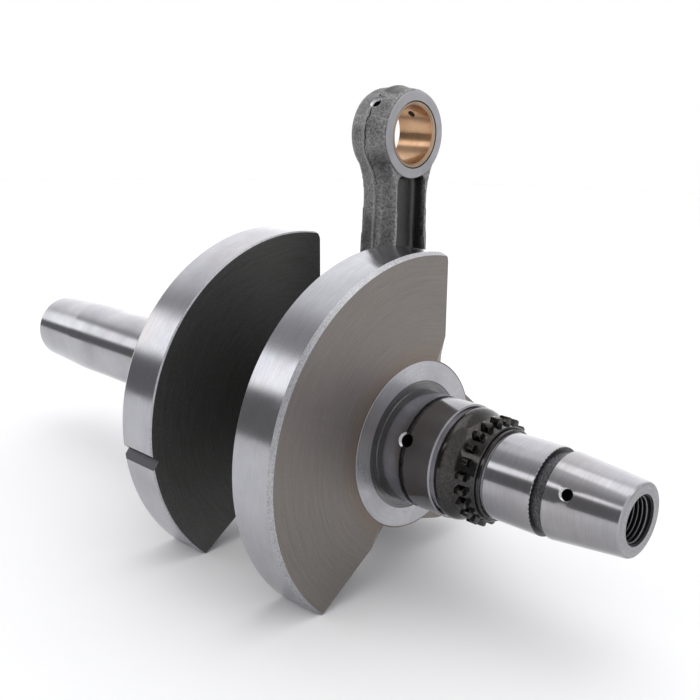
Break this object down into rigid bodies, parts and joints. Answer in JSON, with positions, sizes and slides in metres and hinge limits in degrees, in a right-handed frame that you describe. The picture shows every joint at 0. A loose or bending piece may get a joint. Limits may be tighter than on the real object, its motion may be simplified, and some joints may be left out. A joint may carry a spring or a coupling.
{
  "type": "crankshaft",
  "caption": "Built-up single-cylinder crankshaft with fan-shaped counterweights, a pressed crank pin, a timing sprocket and a swinging connecting rod on a caged roller big end.",
  "frame": {"origin": "middle of the crank: on the main bearing line, level with the middle of the crank pin", "axes": "+X along the main bearing line towards the timing end, +Z the way the connecting rod points at rest; the counterweights reach towards -Y"},
  "size_m": [0.3395, 0.1333, 0.1809],
  "materials": {
    "ground_steel": "ground journals, rims and tapers over matte machined web faces",
    "pin_steel": "case hardened and ground",
    "plug_steel": "pressed from sheet",
    "blackened_steel": "hardened, heat darkened and oily",
    "cage_steel": "machined and plated",
    "washer_bronze": "flat lapped",
    "forged_steel": "forged and shot blasted, with ground eye faces",
    "bush_bronze": "fine bored",
    "roller_steel": "superfinished bearing steel"
  },
  "bodies": {
    "crank": {"timing_side_crank_half": "ground_steel", "drive_side_crank_half": "ground_steel", "crank_pin": "pin_steel", "pin_plug_timing_side": "plug_steel", "pin_plug_drive_side": "plug_steel", "timing_sprocket": "blackened_steel"},
    "rod": {"connecting_rod": "forged_steel", "small_end_bush": "bush_bronze"},
    "cage": {"big_end_cage": "cage_steel"},
    "roller_01": {"big_end_roller_01": "roller_steel"},
    "roller_02": {"big_end_roller_02": "roller_steel"},
    "roller_03": {"big_end_roller_03": "roller_steel"},
    "roller_04": {"big_end_roller_04": "roller_steel"},
    "roller_05": {"big_end_roller_05": "roller_steel"},
    "roller_06": {"big_end_roller_06": "roller_steel"},
    "roller_07": {"big_end_roller_07": "roller_steel"},
    "roller_08": {"big_end_roller_08": "roller_steel"},
    "roller_09": {"big_end_roller_09": "roller_steel"},
    "roller_10": {"big_end_roller_10": "roller_steel"},
    "roller_11": {"big_end_roller_11": "roller_steel"},
    "roller_12": {"big_end_roller_12": "roller_steel"},
    "roller_13": {"big_end_roller_13": "roller_steel"},
    "roller_14": {"big_end_roller_14": "roller_steel"},
    "timing_side_washer": {"thrust_washer_timing_side": "washer_bronze"},
    "drive_side_washer": {"thrust_washer_drive_side": "washer_bronze"}
  },
  "joints": [
    {"name": "rod_swing", "type": "hinge", "parent": "crank", "child": "rod", "pos_m": [0, 0.03289, -0.0164], "axis": [1, 0, 0], "continuous": true},
    {"name": "cage_spin", "type": "hinge", "parent": "crank", "child": "cage", "pos_m": [0, 0.03289, -0.0164], "axis": [1, 0, 0], "continuous": true},
    {"name": "roller_01_spin", "type": "hinge", "parent": "cage", "child": "roller_01", "pos_m": [0, 0.03289, 0.0021], "axis": [1, 0, 0], "continuous": true},
    {"name": "roller_02_spin", "type": "hinge", "parent": "cage", "child": "roller_02", "pos_m": [0, 0.02486, 0.00027], "axis": [1, 0, 0], "continuous": true},
    {"name": "roller_03_spin", "type": "hinge", "parent": "cage", "child": "roller_03", "pos_m": [0, 0.01842, -0.00486], "axis": [1, 0, 0], "continuous": true},
    {"name": "roller_04_spin", "type": "hinge", "parent": "cage", "child": "roller_04", "pos_m": [0, 0.01485, -0.01228], "axis": [1, 0, 0], "continuous": true},
    {"name": "roller_05_spin", "type": "hinge", "parent": "cage", "child": "roller_05", "pos_m": [0, 0.01485, -0.02051], "axis": [1, 0, 0], "continuous": true},
    {"name": "roller_06_spin", "type": "hinge", "parent": "cage", "child": "roller_06", "pos_m": [0, 0.01842, -0.02793], "axis": [1, 0, 0], "continuous": true},
    {"name": "roller_07_spin", "type": "hinge", "parent": "cage", "child": "roller_07", "pos_m": [0, 0.02486, -0.03307], "axis": [1, 0, 0], "continuous": true},
    {"name": "roller_08_spin", "type": "hinge", "parent": "cage", "child": "roller_08", "pos_m": [0, 0.03289, -0.0349], "axis": [1, 0, 0], "continuous": true},
    {"name": "roller_09_spin", "type": "hinge", "parent": "cage", "child": "roller_09", "pos_m": [0, 0.04092, -0.03307], "axis": [1, 0, 0], "continuous": true},
    {"name": "roller_10_spin", "type": "hinge", "parent": "cage", "child": "roller_10", "pos_m": [0, 0.04735, -0.02793], "axis": [1, 0, 0], "continuous": true},
    {"name": "roller_11_spin", "type": "hinge", "parent": "cage", "child": "roller_11", "pos_m": [0, 0.05092, -0.02051], "axis": [1, 0, 0], "continuous": true},
    {"name": "roller_12_spin", "type": "hinge", "parent": "cage", "child": "roller_12", "pos_m": [0, 0.05092, -0.01228], "axis": [1, 0, 0], "continuous": true},
    {"name": "roller_13_spin", "type": "hinge", "parent": "cage", "child": "roller_13", "pos_m": [0, 0.04735, -0.00486], "axis": [1, 0, 0], "continuous": true},
    {"name": "roller_14_spin", "type": "hinge", "parent": "cage", "child": "roller_14", "pos_m": [0, 0.04092, 0.00027], "axis": [1, 0, 0], "continuous": true},
    {"name": "timing_side_washer_spin", "type": "hinge", "parent": "crank", "child": "timing_side_washer", "pos_m": [0.0125, 0.03289, -0.0164], "axis": [1, 0, 0], "continuous": true},
    {"name": "drive_side_washer_spin", "type": "hinge", "parent": "crank", "child": "drive_side_washer", "pos_m": [-0.0125, 0.03289, -0.0164], "axis": [1, 0, 0], "continuous": true}
  ],
  "couplings": [
    {"joint": "cage_spin", "follows": "rod_swing", "ratio": 0.56757},
    {"joint": "roller_01_spin", "follows": "rod_swing", "ratio": 3.6617},
    {"joint": "roller_02_spin", "follows": "rod_swing", "ratio": 3.6617},
    {"joint": "roller_03_spin", "follows": "rod_swing", "ratio": 3.6617},
    {"joint": "roller_04_spin", "follows": "rod_swing", "ratio": 3.6617},
    {"joint": "roller_05_spin", "follows": "rod_swing", "ratio": 3.6617},
    {"joint": "roller_06_spin", "follows": "rod_swing", "ratio": 3.6617},
    {"joint": "roller_07_spin", "follows": "rod_swing", "ratio": 3.6617},
    {"joint": "roller_08_spin", "follows": "rod_swing", "ratio": 3.6617},
    {"joint": "roller_09_spin", "follows": "rod_swing", "ratio": 3.6617},
    {"joint": "roller_10_spin", "follows": "rod_swing", "ratio": 3.6617},
    {"joint": "roller_11_spin", "follows": "rod_swing", "ratio": 3.6617},
    {"joint": "roller_12_spin", "follows": "rod_swing", "ratio": 3.6617},
    {"joint": "roller_13_spin", "follows": "rod_swing", "ratio": 3.6617},
    {"joint": "roller_14_spin", "follows": "rod_swing", "ratio": 3.6617}
  ]
}
